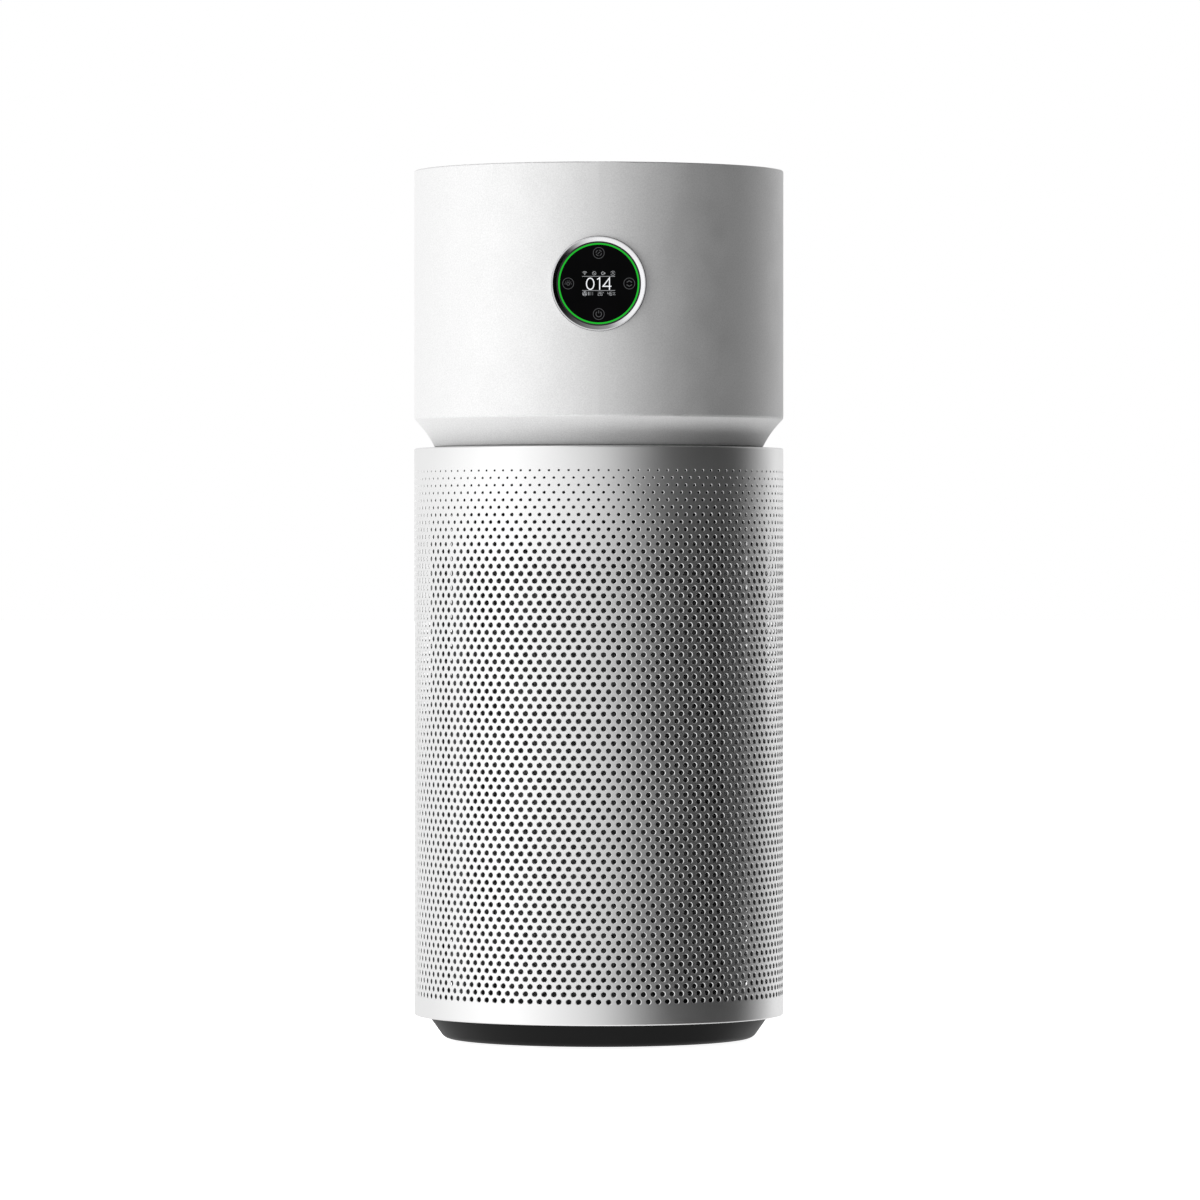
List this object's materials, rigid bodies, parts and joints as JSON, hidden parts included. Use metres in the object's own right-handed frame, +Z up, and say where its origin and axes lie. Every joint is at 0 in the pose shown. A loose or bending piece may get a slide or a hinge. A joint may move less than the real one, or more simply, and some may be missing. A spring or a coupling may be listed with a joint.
{
  "type": "air purifier",
  "caption": "Round tower air purifier: perforated lower shell, grooved neck, head with a round display, outlet grille on top, ring filter behind a rear door.",
  "frame": {"origin": "on the tower's axis at floor level, under the feet", "axes": "+Z up; the display faces -Y; the door, the filter and the mains inlet face +Y"},
  "size_m": [0.3, 0.3015, 0.706],
  "materials": {
    "head_white": "matte",
    "shell_white": "satin",
    "base_black": "satin",
    "grille_grey": "satin",
    "inner_grey": "matte",
    "inlet_black": "satin",
    "lead_black": "matte",
    "feet": "matte",
    "gasket": "matte",
    "impeller": "satin",
    "filter_frame": "matte",
    "filter_net": "satin",
    "filter_paper": "matte",
    "carbon": "matte",
    "strap": "matte",
    "steel": "satin",
    "bracket": "satin",
    "magnet": "satin",
    "copper": "satin",
    "pin_metal": "polished",
    "board_green": "satin",
    "parts_black": "satin",
    "bezel": "satin",
    "mask": "satin",
    "display_glass": "gloss",
    "light": "gloss"
  },
  "bodies": {
    "housing": {"base_tray": "base_black", "bottom_cover": "base_black", "base_screws": "steel", "rubber_feet": "feet", "mains_inlet": "inlet_black", "inlet_pins": "pin_metal", "mains_lead": "lead_black", "front_shell": "shell_white", "support_columns": "inner_grey", "column_screws": "steel", "neck_frame": "shell_white", "catch_plates": "steel", "bell_mouth": "inner_grey", "frame_gasket": "gasket", "inlet_guard": "inner_grey", "fan_duct": "inner_grey", "guide_vanes": "inner_grey", "motor_pod": "inner_grey", "motor_bracket": "bracket", "motor_screws": "steel", "lower_bearing": "steel", "upper_bearing": "steel", "stator_core": "steel", "stator_coils": "copper", "board_standoffs": "inner_grey", "control_board": "board_green", "control_parts": "parts_black", "power_board": "board_green", "power_parts": "parts_black", "board_screws": "steel", "head_shell": "head_white", "top_ring": "head_white", "outlet_grille": "grille_grey", "centre_cap": "grille_grey", "bezel_ring": "bezel", "glass_mask": "mask", "light_ring": "light", "display_glass": "display_glass", "display_panel": "parts_black", "display_board": "board_green", "touch_pads": "parts_black", "display_cup": "inner_grey", "dust_sensor": "inlet_black"},
    "rotor": {"impeller": "impeller", "impeller_shroud": "impeller", "motor_shaft": "steel", "rotor_cup": "steel", "rotor_magnets": "magnet"},
    "filter": {"filter_bottom_cap": "filter_frame", "filter_top_cap": "filter_frame", "filter_netting": "filter_net", "filter_pleats": "filter_paper", "carbon_sleeve": "carbon", "filter_strap": "strap"},
    "door": {"door_panel": "shell_white", "latch_housing": "inner_grey", "door_magnets": "magnet"},
    "latch": {"latch_button": "shell_white", "latch_spring": "steel"},
    "hatch": {"sensor_hatch": "head_white"}
  },
  "joints": [
    {"name": "fan_spin", "type": "hinge", "parent": "housing", "child": "rotor", "pos_m": [0, 0, 0.6], "axis": [0, 0, 1], "continuous": true},
    {"name": "filter_pull", "type": "slide", "parent": "housing", "child": "filter", "axis": [0, 1, 0], "range_m": [0, 0.28]},
    {"name": "door_pull", "type": "slide", "parent": "housing", "child": "door", "axis": [0, 1, 0], "range_m": [0, 0.42]},
    {"name": "latch_press", "type": "slide", "parent": "door", "child": "latch", "axis": [0, 0, -1], "range_m": [0, 0.004], "stiffness_N_per_m": 600, "springref_m": -0.003, "deforming": ["latch_spring"]},
    {"name": "hatch_swing", "type": "hinge", "parent": "housing", "child": "hatch", "pos_m": [0, 0.15, 0.59], "axis": [-1, 0, 0], "range_deg": [0, 80]}
  ],
  "couplings": [
    {"joint": "door_pull", "follows": "filter_pull", "ratio": 1.5}
  ]
}
